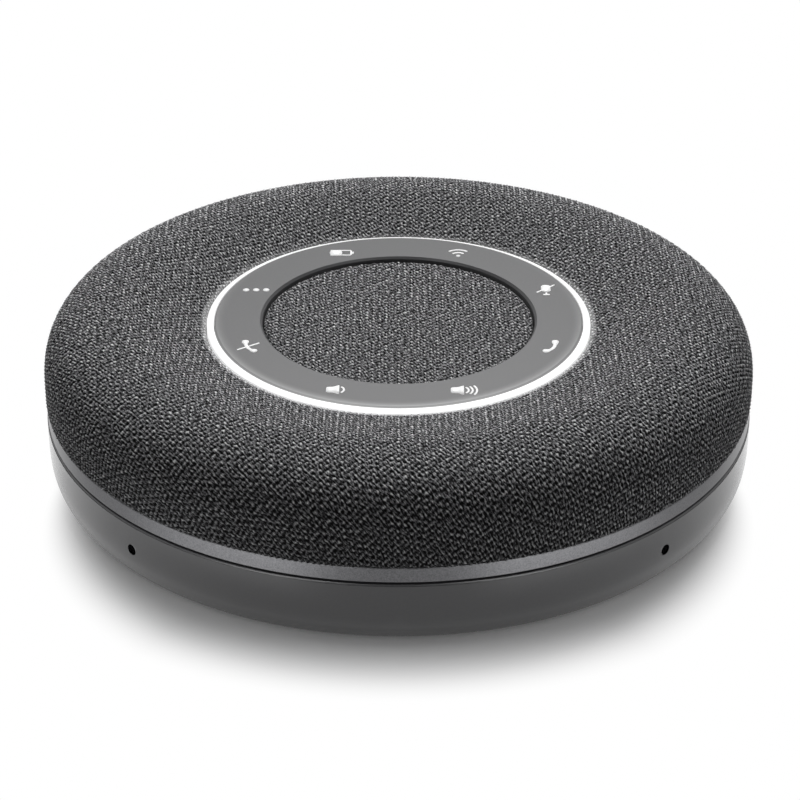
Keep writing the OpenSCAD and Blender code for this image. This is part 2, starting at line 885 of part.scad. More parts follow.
module dust_cap() {
    cap_r = former_r + 1.6;
    rise = 2.2;
    cap_t = 0.4;
    n = 6;
    ball_r = (cap_r * cap_r + rise * rise) / (2 * rise);
    half = asin(cap_r / ball_r);
    glue_z = neck_z + cone_t + 0.2 + (cone_depth - cone_t - 0.2) * 1.6 / (cone_r - 0.6 - former_r) + 0.1;
    arc = [for (i = [1:n]) [ball_r * sin(half * i / n), rise - ball_r + ball_r * cos(half * i / n)]];
    top = concat([[0, arc[0][1]]], arc);
    color([0.16, 0.16, 0.16])
        translate([0, 0, glue_z])
            rotate_extrude()
                polygon(concat(top, [for (i = [n:-1:0]) top[i] * (1 - cap_t / rise)]));
}

module speaker_surround() {
    roll_r = surround_w / 2;
    color([0.12, 0.12, 0.12])
        rotate_extrude() {
            translate([cone_r + roll_r, flange_top_z])
                intersection() {
                    difference() {
                        circle(r = roll_r + roll_t / 2);
                        circle(r = roll_r - roll_t / 2);
                    }
                    translate([-surround_w, 0])
                        square([2 * surround_w, surround_w]);
                }
            translate([cone_r - 1, flange_top_z])
                square([1, roll_t]);
            translate([surround_out_r, flange_top_z])
                square([0.8, roll_t]);
        }
}

module speaker_spider() {
    r_in = former_r + 0.15;
    r_out = basket_floor_r - basket_t - 0.4;
    waves = 5;
    n = 4 * waves;
    z = ledge_z + ledge_t + spider_wave;
    line = [for (i = [0:n]) [r_in + (r_out - r_in) * i / n, z - spider_wave * cos(360 * waves * i / n)]];
    color([0.75, 0.6, 0.35])
        rotate_extrude()
            polygon(concat(line, [for (i = [n:-1:0]) line[i] + [0, spider_t]]));
}

module speaker_screws() {
    color([0.55, 0.55, 0.57])
        ring_of(4, 45)
            translate([ear_circle, 0, flange_top_z + small_head_h])
                mirror([0, 0, 1])
                    screw(small_screw_r, small_head_r, small_head_h, basket_t + ear_grip);
}

// Main board and what is on it
module main_board() {
    color([0.08, 0.28, 0.18])
        translate([0, 0, board_z])
            linear_extrude(board_t)
                difference() {
                    union() {
                        intersection() {
                            circle(r = board_r);
                            translate([-board_w / 2, board_front])
                                square([board_w, board_r]);
                        }
                        translate([-tongue_w / 2, board_front])
                            square([tongue_w, board_tongue - board_front]);
                    }
                    for (p = board_holes)
                        translate(p)
                            circle(r = small_screw_r + 0.3);
                }
}

module board_screws() {
    color([0.55, 0.55, 0.57])
        for (p = board_holes)
            translate([p[0], p[1], board_top_z + small_head_h])
                mirror([0, 0, 1])
                    screw(small_screw_r, small_head_r, small_head_h, board_t + board_lift);
}

// Sheet-metal can over the radio chip, open below
module board_shield() {
    can = [10 * grid, 8 * grid, 1.1 * grid];
    middle = [-10 * grid, board_front + 10.5 * grid];
    hollow = can - [2 * shield_t, 2 * shield_t, shield_t];
    color([0.7, 0.7, 0.72])
        difference() {
            block(can, middle[0], middle[1], board_top_z);
            block(hollow, middle[0], middle[1], board_top_z - eps);
        }
}

// Chips, each as place and size in steps of the board's grid
module board_chips() {
    chips = [[-10, 10.5, 3.5, 3.5], [6, 8.5, 3, 3], [11, 10, 2.5, 2], [-6.5, 5.5, 2, 1.5], [7, 15.5, 2, 2]];
    color([0.1, 0.1, 0.1])
        for (c = chips)
            block([c[2] * grid, c[3] * grid, chip_h], c[0] * grid, board_front + c[1] * grid, board_top_z);
}

module board_connectors() {
    color([0.9, 0.88, 0.82]) {
        for (p = [battery_plug, speaker_plug])
            block([plug_l, plug_w, plug_h], p[0], p[1], board_top_z);
        translate([ribbon_plug[0], ribbon_plug[1], board_top_z])
            difference() {
                block([ribbon_w + 2 * plug_lip, plug_h, plug_h - 1], 0, 0, 0);
                block([ribbon_w + 4 * seat_gap, ribbon_slot, plug_h], 0, 0, 0.8);
            }
    }
}

// Socket in the rear wall
module usb_shell() {
    mouth = base_r_at(usb_z) - usb_sunk;
    color([0.72, 0.72, 0.74])
        rotate([0, 0, 90])
            translate([0, 0, usb_z])
                difference() {
                    pill(usb_w, usb_h, mouth - usb_len, usb_len);
                    pill(usb_w - 2 * usb_t, usb_h - 2 * usb_t, mouth - usb_len + 1, usb_len);
                }
}

module usb_tongue() {
    mouth = base_r_at(usb_z) - usb_sunk;
    tongue = [usb_len - 1.8, 6.69, 0.7];
    color([0.1, 0.1, 0.1])
        rotate([0, 0, 90])
            block(tongue, mouth - 0.8 - tongue[0] / 2, 0, usb_z - tongue[2] / 2);
}

// Power key
module power_switch() {
    color([0.15, 0.15, 0.15])
        rotate([0, 0, button_angle])
            difference() {
                block([switch_len, switch_w, switch_h], switch_front_r - switch_len / 2, 0, board_top_z);
                translate([switch_front_r - plunger_in - button_travel - 0.3, 0, button_z])
                    rotate([0, 90, 0])
                        cylinder(r = plunger_r + seat_gap, h = over);
            }
}

module switch_plunger() {
    color([0.75, 0.72, 0.65])
        rotate([0, 0, button_angle])
            translate([switch_front_r - plunger_in, 0, button_z])
                rotate([0, 90, 0])
                    cylinder(r = plunger_r, h = plunger_in + plunger_out);
}

module power_button() {
    face = base_r_at(button_z) + button_proud;
    lip = 2 * button_lip;
    color([0.24, 0.24, 0.25])
        rotate([0, 0, button_angle])
            translate([0, 0, button_z]) {
                pill(button_w, button_h, button_back_r, face - button_back_r);
                pill(button_w + lip, button_h + lip, button_back_r, button_lip_t);
            }
}

// Battery
module battery_pack() {
    color([0.6, 0.62, 0.65])
        block([battery_w, battery_l, battery_h], 0, battery_y, battery_z);
}

module battery_pad() {
    color([0.1, 0.1, 0.1])
        block([battery_w - 6, battery_l - 6, pad_t], 0, battery_y, floor_z);
}

// Microphones
module mic_boots() {
    color([0.1, 0.1, 0.1])
        at_mics()
            difference() {
                block([boot_t, boot_w, boot_h], mic_seat_r - boot_t / 2, 0, floor_z);
                translate([mic_seat_r - boot_t - eps, 0, mic_z])
                    rotate([0, 90, 0])
                        cylinder(d = mic_d, h = boot_t + 2 * eps, $fn = 32);
            }
}

module mic_boards() {
    color([0.08, 0.28, 0.18])
        at_mics()
            difference() {
                block([mic_board_t, boot_w, boot_h], mic_seat_r - boot_t - mic_board_t / 2, 0, floor_z);
                translate([mic_seat_r - boot_t - mic_board_t - eps, 0, mic_z])
                    rotate([0, 90, 0])
                        cylinder(d = 0.8, h = mic_board_t + 2 * eps, $fn = 24);
            }
}

module microphones() {
    color([0.8, 0.75, 0.5])
        at_mics()
            block(mic_can, mic_seat_r - boot_t - mic_board_t - mic_can[0] / 2, 0, mic_z - mic_can[2] / 2);
}

// Wiring inside
module touch_ribbon() {
    low = board_top_z + 1;
    color([0.85, 0.5, 0.15])
        block([ribbon_w, ribbon_t, shelf_top_z - low], 0, ribbon_y, low);
}

module speaker_leads() {
    terminal_z = ledge_z + 2;
    plug_z = board_top_z + plug_h / 2;
    wall_r = basket_floor_r + (surround_out_r - basket_floor_r) * (terminal_z - plate_top_z)
        / (flange_z - plate_top_z);
    end_r = wall_r + wire_r + 2 * seat_gap;
    color([0.7, 0.1, 0.1])
        for (s = [-1, 1]) {
            angle = 120 - s * 4;
            start = [speaker_plug[0] + s * 1.2, speaker_plug[1] - plug_w / 2, plug_z];
            end = [end_r * cos(angle), end_r * sin(angle), terminal_z];
            wire(start, [start[0], end[1], plug_z], end, wire_r);
        }
}

module battery_leads() {
    start_y = battery_y + battery_l / 2;
    len = battery_plug[1] - plug_w / 2 - start_y;
    color([0.15, 0.15, 0.15])
        for (s = [-1, 1])
            translate([battery_plug[0] + s * 1.2, start_y, board_top_z + plug_h / 2])
                rotate([-90, 0, 0])
                    cylinder(r = wire_r, h = len, $fn = 24);
}

foot_ring();
base_shell();
base_screws();
base_gasket();
trim_ring();
grille_dome();
dome_fabric();
light_ring();
control_ring();
touch_pads();
ring_leds();
ring_board();
centre_grille();
centre_fabric();
inner_chassis();
dome_screws();
speaker_basket();
speaker_gasket();
speaker_yoke();
speaker_magnet();
speaker_plate();
voice_coil();
speaker_cone();
dust_cap();
speaker_surround();
speaker_spider();
speaker_screws();
main_board();
board_screws();
board_shield();
board_chips();
board_connectors();
usb_shell();
usb_tongue();
power_switch();
switch_plunger();
power_button();
battery_pack();
battery_pad();
microphones();
mic_boards();
mic_boots();
touch_ribbon();
speaker_leads();
battery_leads();
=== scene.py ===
# Looks of a round table speakerphone: knitted dome, lit key ring, metal trim and a satin base
import math

import bmesh
import bpy
import numpy as np
from mathutils import Matrix, Vector


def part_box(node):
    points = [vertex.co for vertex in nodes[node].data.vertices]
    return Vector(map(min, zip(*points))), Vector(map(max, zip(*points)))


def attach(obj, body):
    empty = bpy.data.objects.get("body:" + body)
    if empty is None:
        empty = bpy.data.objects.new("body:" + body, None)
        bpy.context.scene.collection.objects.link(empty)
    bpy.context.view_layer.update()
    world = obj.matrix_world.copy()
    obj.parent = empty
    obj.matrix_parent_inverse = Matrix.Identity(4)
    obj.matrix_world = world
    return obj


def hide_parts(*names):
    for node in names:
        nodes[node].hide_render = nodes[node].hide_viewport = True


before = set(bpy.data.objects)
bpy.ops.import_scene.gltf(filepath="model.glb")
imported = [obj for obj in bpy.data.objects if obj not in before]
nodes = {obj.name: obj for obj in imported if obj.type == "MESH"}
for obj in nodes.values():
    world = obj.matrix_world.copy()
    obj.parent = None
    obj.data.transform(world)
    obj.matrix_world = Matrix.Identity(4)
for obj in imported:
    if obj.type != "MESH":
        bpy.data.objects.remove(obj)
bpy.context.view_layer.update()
mm = 0.001
print("frame loaded with", len(nodes), "nodes")


def linear(hexColour):
    # sRGB hex to linear RGBA, by the standard's straight foot and 2.4 power
    srgb = np.array([int(hexColour[k:k + 2], 16) / 255 for k in (1, 3, 5)])
    part = np.where(srgb <= 0.04045, srgb / 12.92, ((srgb + 0.055) / 1.055) ** 2.4)
    return (*part, 1.0)


def startMaterial(name):
    material = bpy.data.materials.new(name)
    material.use_nodes = True
    material.node_tree.nodes.clear()
    return material


def addNode(material, kind, feeds=None, **settings):
    # One node with its settings; feeds gives each input a value or another node's output
    node = material.node_tree.nodes.new(kind)
    for name, value in settings.items():
        setattr(node, name, value)
    for socket, value in (feeds or {}).items():
        if isinstance(value, bpy.types.NodeSocket):
            material.node_tree.links.new(value, node.inputs[socket])
        else:
            node.inputs[socket].default_value = value
    return node


def dress(names, material):
    # A CAD node keeps its mesh and gets the material in its slots
    for name in names:
        piece = nodes[name]
        if not piece.material_slots:
            piece.data.materials.append(material)
        for holder in piece.material_slots:
            holder.material = material


def makePiece(name, points, faces, material, uv=None):
    # Points in millimetres and faces as index rows become a smooth mesh that rides on the housing
    mesh = bpy.data.meshes.new(name)
    mesh.from_pydata(points * mm, [], faces.tolist())
    mesh.polygons.foreach_set("use_smooth", np.ones(len(mesh.polygons), bool))
    if uv is not None:
        corner = np.zeros(len(mesh.loops), int)
        mesh.loops.foreach_get("vertex_index", corner)
        mesh.uv_layers.new(name="stitches").data.foreach_set("uv", uv[corner].astype(np.float32).ravel())
    mesh.materials.append(material)
    mesh.update()
    piece = bpy.data.objects.new(name, mesh)
    bpy.context.scene.collection.objects.link(piece)
    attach(piece, "housing")
    return piece


# Camera, from the edges of the trim, base and rings
view = {"reach": 500, "aimHeight": 20.6, "rise": 28.19, "pitch": 29.117, "aside": 0.26, "lens": 120.05}
cameraData = bpy.data.cameras.new("camera")
cameraData.sensor_width = 36
cameraData.lens = view["lens"]
cameraData.clip_start = 0.01
camera = bpy.data.objects.new("camera", cameraData)
rise = math.radians(view["rise"])
camera.location = (
    view["aside"] * mm,
    -view["reach"] * math.cos(rise) * mm,
    (view["aimHeight"] + view["reach"] * math.sin(rise)) * mm,
)
camera.rotation_euler = (math.radians(90 - view["pitch"]), 0, 0)
bpy.context.scene.collection.objects.link(camera)
bpy.context.scene.camera = camera
bpy.context.scene.view_settings.view_transform = "Standard"
print("camera placed")

# Softbox above and behind, and a surround that gloss sees: white, with bright panels beside a dim front
light = {
    "reach": 750, "behind": 38, "aside": 3, "width": 640, "power": 5.15, "ambient": 0.05,
    "sides": 0.7, "panel": 5.0, "front": 0.4, "panelTurns": (70, 42, 16),
}
lampData = bpy.data.lights.new("softbox", "AREA")
lampData.shape = "DISK"
lampData.size = light["width"] * mm
lampData.energy = light["power"]
lamp = bpy.data.objects.new("softbox", lampData)
behind, aside = math.radians(light["behind"]), math.radians(light["aside"])
lampWay = Vector((math.tan(aside), math.sin(behind), math.cos(behind))).normalized()
lamp.location = lampWay * light["reach"] * mm
lamp.rotation_euler = lampWay.to_track_quat("Z", "Y").to_euler()
bpy.context.scene.collection.objects.link(lamp)


def frontness(material, vector):
    # How far a direction or place lies to the front, by the cosine of its turn: 1 straight ahead, 0 behind
    flat = addNode(material, "ShaderNodeVectorMath", {0: vector, 1: (1, 1, 0)}, operation="MULTIPLY")
    flat = addNode(material, "ShaderNodeVectorMath", {0: flat.outputs[0]}, operation="NORMALIZE")
    part = addNode(material, "ShaderNodeSeparateXYZ", {0: flat.outputs[0]})
    return addNode(material, "ShaderNodeMath", {0: part.outputs["Y"], 1: -0.5, 2: 0.5},
                   operation="MULTIPLY_ADD")


def levels(material, ahead, steps, most):
    # Brightness by turn from the front: each step is a turn in degrees and a level, smooth between
    ramp = addNode(material, "ShaderNodeValToRGB", {0: ahead.outputs[0]})
    ramp.color_ramp.interpolation = "EASE"
    stops = ramp.color_ramp.elements
    for count, (turn, level) in enumerate(steps):
        place = 0.5 + 0.5 * math.cos(math.radians(turn))
        stop = stops[count] if count < 2 else stops.new(place)
        stop.position = place
        stop.color = (level / most, level / most, level / most, 1)
    return addNode(material, "ShaderNodeMath", {0: ramp.outputs[0], 1: most}, operation="MULTIPLY")


world = bpy.data.worlds.new("studio")
world.use_nodes = True
world.node_tree.nodes.clear()
path = addNode(world, "ShaderNodeLightPath")
way = addNode(world, "ShaderNodeTexCoord")
ahead = frontness(world, way.outputs["Generated"])
gloss = levels(world, ahead, [
    (180, 1.0), (light["panelTurns"][0], 1.0), (light["panelTurns"][1], light["panel"]),
    (light["panelTurns"][2], light["front"]), (0, light["front"]),
], light["panel"])
seen = addNode(world, "ShaderNodeMath", {
    0: path.outputs["Is Camera Ray"], 1: path.outputs["Is Transmission Ray"],
}, operation="MAXIMUM")
ambient = levels(world, ahead, [
    (180, light["ambient"]), (125, light["ambient"]), (92, light["sides"]), (60, light["ambient"]),
    (0, light["ambient"]),
], 1.0)
plain = addNode(world, "ShaderNodeMapRange", {
    "Value": seen.outputs[0], "To Min": ambient.outputs[0], "To Max": 1.0,
})
level = addNode(world, "ShaderNodeMix", {
    "Factor": path.outputs["Is Glossy Ray"], 2: plain.outputs[0], 3: gloss.outputs[0],
})
sky = addNode(world, "ShaderNodeBackground", {"Color": (1, 1, 1, 1), "Strength": level.outputs[0]})
addNode(world, "ShaderNodeOutputWorld", {"Surface": sky.outputs[0]})
bpy.context.scene.world = world

# White table: paper that keeps the shadow near the object and is plain white further out, with a dim bounce
# so that the walls stay deep; gloss sees it lit from both sides
table = {
    "reach": 3000, "paper": "#F2F2F2", "paintedShadowLift": 0.085, "contact": (61.8, 62.6), "bounce": "#9A9A9A",
    "fadeSide": (59.3, 66), "fadeFront": (65, 82.3), "sideUpTo": 0.6, "frontFrom": 0.92,
    "panel": 2.9, "panelFrom": 79, "panelTo": 95, "shade": (63.5, 67.5), "shadeLevel": 0.19,
}
paper = startMaterial("whitePaperSweep")
place = addNode(paper, "ShaderNodeTexCoord")
away = addNode(paper, "ShaderNodeVectorMath", {0: place.outputs["Object"]}, operation="LENGTH")
ahead = frontness(paper, place.outputs["Object"])
# the real shadow is painted over with white from a radius that is larger in front than at the sides, so the
# shadow shown reaches further out in front: a painted shadow edge
start = addNode(paper, "ShaderNodeMapRange", {
    "Value": ahead.outputs[0], "From Min": table["sideUpTo"], "From Max": table["frontFrom"],
    "To Min": table["fadeSide"][0] * mm, "To Max": table["fadeFront"][0] * mm,
})
stop = addNode(paper, "ShaderNodeMapRange", {
    "Value": ahead.outputs[0], "From Min": table["sideUpTo"], "From Max": table["frontFrom"],
    "To Min": table["fadeSide"][1] * mm, "To Max": table["fadeFront"][1] * mm,
})
fade = addNode(paper, "ShaderNodeMapRange", {
    "Value": away.outputs["Value"], "From Min": start.outputs[0], "From Max": stop.outputs[0],
}, interpolation_type="SMOOTHSTEP")
sheetNear = addNode(paper, "ShaderNodeBsdfDiffuse", {"Color": linear(table["paper"])})
# painted light: an emission lifts the shadowed floor near the object to a grey; it fades out inwards over the
# contact radii, which leaves a painted contact shade under the base's edge
paintedLiftStrength = addNode(paper, "ShaderNodeMapRange", {
    "Value": away.outputs["Value"], "To Max": table["paintedShadowLift"],
    "From Min": table["contact"][0] * mm, "From Max": table["contact"][1] * mm,
})
paintedShadowLift = addNode(paper, "ShaderNodeEmission", {"Color": (1, 1, 1, 1), "Strength": paintedLiftStrength.outputs[0]})
sheetNear = addNode(paper, "ShaderNodeAddShader", {0: sheetNear.outputs[0], 1: paintedShadowLift.outputs[0]})
sheetFar = addNode(paper, "ShaderNodeEmission", {"Color": (1, 1, 1, 1), "Strength": 1.0})
sheetSeen = addNode(paper, "ShaderNodeMixShader", {
    0: fade.outputs[0], 1: sheetNear.outputs[0], 2: sheetFar.outputs[0],
})
sheetBounce = addNode(paper, "ShaderNodeBsdfDiffuse", {"Color": linear(table["bounce"])})
ray = addNode(paper, "ShaderNodeLightPath")
both = addNode(paper, "ShaderNodeMixShader", {
    0: ray.outputs["Is Diffuse Ray"], 1: sheetSeen.outputs[0], 2: sheetBounce.outputs[0],
})
lobes = levels(paper, ahead, [
    (180, 1.0), (76, 0.7), (61, 1.3), (54, 2.1), (45, 2.7), (31, table["panel"]), (23, table["panel"]),
    (8, 1.0), (0, 1.0),
], table["panel"])
near = levels(paper, ahead, [
    (180, 1.2), (120, 1.25), (90, 1.38), (84, 1.32), (76, 1.15), (67, 1.05), (55, 0.96), (40, 0.94),
    (25, 0.95), (0, 1.0),
], table["panel"])
band = addNode(paper, "ShaderNodeMapRange", {
    "Value": away.outputs["Value"], "From Min": table["panelFrom"] * mm, "From Max": table["panelTo"] * mm,
})
lit = addNode(paper, "ShaderNodeMix", {"Factor": band.outputs[0], 2: near.outputs[0], 3: lobes.outputs[0]})
# close to the base gloss sees the shade there
shade = addNode(paper, "ShaderNodeMapRange", {
    "Value": away.outputs["Value"], "From Min": table["shade"][0] * mm, "From Max": table["shade"][1] * mm,
    "To Min": table["shadeLevel"],
})
lit = addNode(paper, "ShaderNodeMath", {0: lit.outputs[0], 1: shade.outputs[0]}, operation="MULTIPLY")
sheetGloss = addNode(paper, "ShaderNodeEmission", {"Color": (1, 1, 1, 1), "Strength": lit.outputs[0]})
both = addNode(paper, "ShaderNodeMixShader", {
    0: ray.outputs["Is Glossy Ray"], 1: both.outputs[0], 2: sheetGloss.outputs[0],
})
addNode(paper, "ShaderNodeOutputMaterial", {"Surface": both.outputs[0]})
floorMesh = bpy.data.meshes.new("table")
half = table["reach"] * mm
corners = [(-half, -half, 0), (half, -half, 0), (half, half, 0), (-half, half, 0)]
floorMesh.from_pydata(corners, [], [(0, 1, 2, 3)])
floorMesh.materials.append(paper)
floor = bpy.data.objects.new("table", floorMesh)
bpy.context.scene.collection.objects.link(floor)
print("light and table set")

# Knitted cloth: wales and courses in millimetres, with the slant and bow that the stretched cloth shows;
# tones are shares of white as the eye sees them, flecks are in stitches, and the grid has so many rows per
# stitch and some to spare
knit = {
    "wale": 1.183, "waleDrift": 0.0004, "course": 1.163, "slant": 0.14, "bow": -0.002, "relief": 0.2,
    "pull": 1.08, "pullFrom": 51, "beside": 0.25, "tone": 0.335, "stitchTone": 0.42, "fleckTone": 2.1,
    "fleckLong": 0.58, "fleckShort": 0.28, "glow": 0.35, "glowFrom": 36.3, "glowTo": 36.9,
    "glowBehind": 0.2, "glowOutside": 30, "perWale": 4, "perCourse": 2, "spare": 1.1, "tallShare": 0.65,
    "flatOutside": 1.2, "flatInside": 0.9,
    "greys": ["#080808", "#333334", "#666668", "#99999B", "#CCCCCE", "#FFFFFF"],
}


def paintedGlowFrontShare(material, spot, atBack, reach=36):
    # The painted glow beside the light ring, of this radius, is painted strongest at the front: 1 there and
    # atBack at the rear
    part = addNode(material, "ShaderNodeSeparateXYZ", {0: spot})
    return addNode(material, "ShaderNodeMapRange", {
        "Value": part.outputs["Y"], "From Min": -reach * mm, "From Max": reach * mm,
        "To Min": 1.0, "To Max": atBack,
    })


def fromAxis(material, spot):
    flat = addNode(material, "ShaderNodeVectorMath", {0: spot, 1: (1.0, 1.0, 0.0)}, operation="MULTIPLY")
    return addNode(material, "ShaderNodeVectorMath", {0: flat.outputs[0]}, operation="LENGTH")


def knitYarn():
    # Melange polyester in plain knit: each stitch is a light bead above a dark pit, with lighter fibres in
    # it; the pits' darker colour is partly the knit's own dark holes and partly painted shade in the hollows
    m = startMaterial("melangePolyesterKnit")
    uv = addNode(m, "ShaderNodeUVMap", uv_map="stitches")
    turns = addNode(m, "ShaderNodeVectorMath", {0: uv.outputs[0], "Scale": 2 * math.pi}, operation="SCALE")
    split = addNode(m, "ShaderNodeSeparateXYZ", {0: turns.outputs[0]})
    across = addNode(m, "ShaderNodeMath", {0: split.outputs["X"]}, operation="COSINE")
    across = addNode(m, "ShaderNodeMath", {0: across.outputs[0], 1: 1 - knit["beside"], 2: knit["beside"]},
                     operation="MULTIPLY_ADD")
    along = addNode(m, "ShaderNodeMath", {0: split.outputs["Y"]}, operation="SINE")
    stitch = addNode(m, "ShaderNodeMath", {0: across.outputs[0], 1: along.outputs[0]}, operation="MULTIPLY")
    # fibres lie along the twist of the yarn, which leans across the stitches
    twist = addNode(m, "ShaderNodeMapping", {
        "Vector": uv.outputs[0], "Rotation": (0, 0, math.radians(-45)),
        "Scale": (knit["fleckLong"], knit["fleckShort"], 1),
    }, vector_type="TEXTURE")
    fleck = addNode(m, "ShaderNodeTexNoise", {"Vector": twist.outputs[0], "Scale": 1.0, "Detail": 2.5},
                    noise_dimensions="2D")
    fibre = addNode(m, "ShaderNodeMath", {0: fleck.outputs[0], 1: 0.5}, operation="SUBTRACT")
    # painted shade in part: the stitch pattern darkens the colour in the pits, where the relief is low
    tone = addNode(m, "ShaderNodeMath", {0: stitch.outputs[0], 1: knit["stitchTone"], 2: knit["tone"]},
                   operation="MULTIPLY_ADD")
    tone = addNode(m, "ShaderNodeMath", {0: fibre.outputs[0], 1: knit["fleckTone"], 2: tone.outputs[0]},
                   operation="MULTIPLY_ADD")
    yarn = addNode(m, "ShaderNodeValToRGB", {0: tone.outputs[0]})
    stops = yarn.color_ramp.elements
    for count, grey in enumerate(knit["greys"]):
        stop = stops[count] if count < 2 else stops.new(1.0)
        stop.position = count / (len(knit["greys"]) - 1)
        stop.color = linear(grey)
    relief = addNode(m, "ShaderNodeMath", {0: stitch.outputs[0], 1: 0.5, 2: fibre.outputs[0]},
                     operation="MULTIPLY_ADD")
    # painted glow: an emission on the yarns just outside the light ring stands in for the ring's light
    # falling on them, strongest at the front
    spot = addNode(m, "ShaderNodeTexCoord")
    out = fromAxis(m, spot.outputs["Object"])
    lit = addNode(m, "ShaderNodeMapRange", {
        "Value": out.outputs["Value"], "From Min": knit["glowFrom"] * mm, "From Max": knit["glowTo"] * mm,
        "To Min": knit["glow"], "To Max": 0.0,
    })
    outer = addNode(m, "ShaderNodeMath", {0: out.outputs["Value"], 1: knit["glowOutside"] * mm},
                    operation="GREATER_THAN")
    lit = addNode(m, "ShaderNodeMath", {0: lit.outputs[0], 1: outer.outputs[0]}, operation="MULTIPLY")
    side = paintedGlowFrontShare(m, spot.outputs["Object"], knit["glowBehind"])
    lit = addNode(m, "ShaderNodeMath", {0: lit.outputs[0], 1: side.outputs[0]}, operation="MULTIPLY")
    bump = addNode(m, "ShaderNodeBump", {
        "Strength": 0.8, "Distance": knit["relief"] * mm, "Height": relief.outputs[0],
    })
    cloth = addNode(m, "ShaderNodeBsdfPrincipled", {
        "Base Color": yarn.outputs[0], "Roughness": 0.9, "Specular IOR Level": 0.04, "Sheen Weight": 0.14,
        "Sheen Roughness": 0.25, "Normal": bump.outputs[0], "Emission Color": (1, 1, 1, 1),
        "Emission Strength": lit.outputs[0],
    })
    addNode(m, "ShaderNodeOutputMaterial", {"Surface": cloth.outputs[0]})
    return m


def knitSheet(name, r, z, fromR, material):
    # Profile r(s), z(s) turned round the axis; the knit's lattice lies on the flat cloth, whose distance from
    # the centre is the arc length, so a vertex goes out along its own direction to r(s) and is lifted along
    # the normal; the cloth is pulled longer over the shoulder, so its own length there is less than the arc
    step = np.hypot(np.diff(r), np.diff(z)) / np.where(r[1:] > knit["pullFrom"], knit["pull"], 1.0)
    arc = fromR + np.concatenate([[0], np.cumsum(step)])
    first, last = arc[0], arc[-1]
    way = np.hypot(np.gradient(z, arc), np.gradient(r, arc))
    tall = np.gradient(z, arc) / way
    wide = np.gradient(r, arc) / way
    count = int(last / knit["wale"] * knit["perWale"] * knit["spare"]) + 8
    tallCount = int(count * knit["tallShare"])
    column, row = np.meshgrid(np.arange(-count, count + 1), np.arange(-tallCount, tallCount + 1))
    course = (row + 0.5) / knit["perCourse"]
    wale = column / knit["perWale"]
    # undo the drift of the wales and the slant and bow of the courses
    a, b = knit["waleDrift"], 1 / knit["wale"]
    u = (np.sqrt(np.maximum(b * b + 4 * a * wale, 0.01)) - b) / (2 * a)
    v = (course - knit["slant"] * u - knit["bow"] * u * u) * knit["course"]
    far = np.hypot(u, v)
    inside = (far > first) & (far < last)
    near = np.clip(far, first, last)
    # beads and pits alternate along each wale; half a wale further they are weaker and the other way round
    bead = (knit["beside"] + (1 - knit["beside"]) * np.cos(2 * np.pi * wale)) * np.sin(2 * np.pi * course)
    # the relief dies out at the outer edge and, where there is one, at the inner edge
    inner = np.clip((near - first) / knit["flatInside"], 0, 1) ** int(first > 0)
    free = np.clip((last - near) / knit["flatOutside"], 0, 1) * inner
    lift = knit["relief"] * (bead - 1) * free
    radius = np.interp(near, arc, r) - lift * np.interp(near, arc, tall)
    height = np.interp(near, arc, z) + lift * np.interp(near, arc, wide)
    turn = np.arctan2(v, u)
    points = np.stack([radius * np.cos(turn), radius * np.sin(turn), height], -1).reshape(-1, 3)
    index = np.arange(column.size).reshape(column.shape)
    faces = np.stack([index[:-1, :-1], index[:-1, 1:], index[1:, 1:], index[1:, :-1]], -1).reshape(-1, 4)
    faces = faces[inside.ravel()[faces].any(1)]
    used, faces = np.unique(faces, return_inverse=True)
    faces = faces.reshape(-1, 4)
    uv = np.stack([wale, course], -1).reshape(-1, 2)[used]
    return makePiece(name, points[used], faces, material, uv)


yarn = knitYarn()

# Dome cloth: tucked beside the light ring, over the dish and crest, down the shoulder, under onto the trim
dome = {
    "crestR": 51, "squareness": 2.5, "dishCurve": 1.25, "upright": 3.9, "bulgeHeight": 0.45,
    "lightFall": 0.48, "tuckIn": 1.0, "tuckUnder": 0.9,
}
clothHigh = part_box("dome_fabric")[1]
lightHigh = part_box("light_ring")[1]
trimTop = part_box("trim_ring")[1].z / mm
widest, crestZ, lightR = clothHigh.x / mm, clothHigh.z / mm, lightHigh.x / mm
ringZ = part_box("control_ring")[1].z / mm
dishFall = crestZ - (ringZ - dome["lightFall"])
bulgeZ = trimTop + dome["bulgeHeight"]
uprightZ = bulgeZ + dome["upright"]
dishR = np.linspace(lightR + 0.4, dome["crestR"], 60)
dishZ = crestZ - dishFall * ((dome["crestR"] - dishR) / (dome["crestR"] - lightR)) ** dome["dishCurve"]
angle = np.radians(np.linspace(90, 0, 160))[1:]
power = 2 / dome["squareness"]
shoulderR = dome["crestR"] + (widest - dome["crestR"]) * np.cos(angle) ** power
shoulderZ = uprightZ + (crestZ - uprightZ) * np.sin(angle) ** power
hemR = [widest, widest, widest - 0.08, widest - 0.22, widest - 0.42, widest - 0.42 - dome["tuckUnder"]]
hemZ = [(bulgeZ + uprightZ) / 2, bulgeZ, bulgeZ - 0.18, bulgeZ - 0.32, trimTop + 0.03, trimTop + 0.03]
tuckR = [lightR + 0.1, lightR + 0.1, lightR + 0.2]
tuckZ = [dishZ[0] - dome["tuckIn"], dishZ[0] - 0.3, dishZ[0] - 0.06]
domeCloth = knitSheet("domeCloth", np.concatenate([tuckR, dishR, shoulderR, hemR]),
                      np.concatenate([tuckZ, dishZ, shoulderZ, hemZ]), lightR - 0.4, yarn)
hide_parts("dome_fabric")
print("dome cloth has", len(domeCloth.data.polygons), "faces")

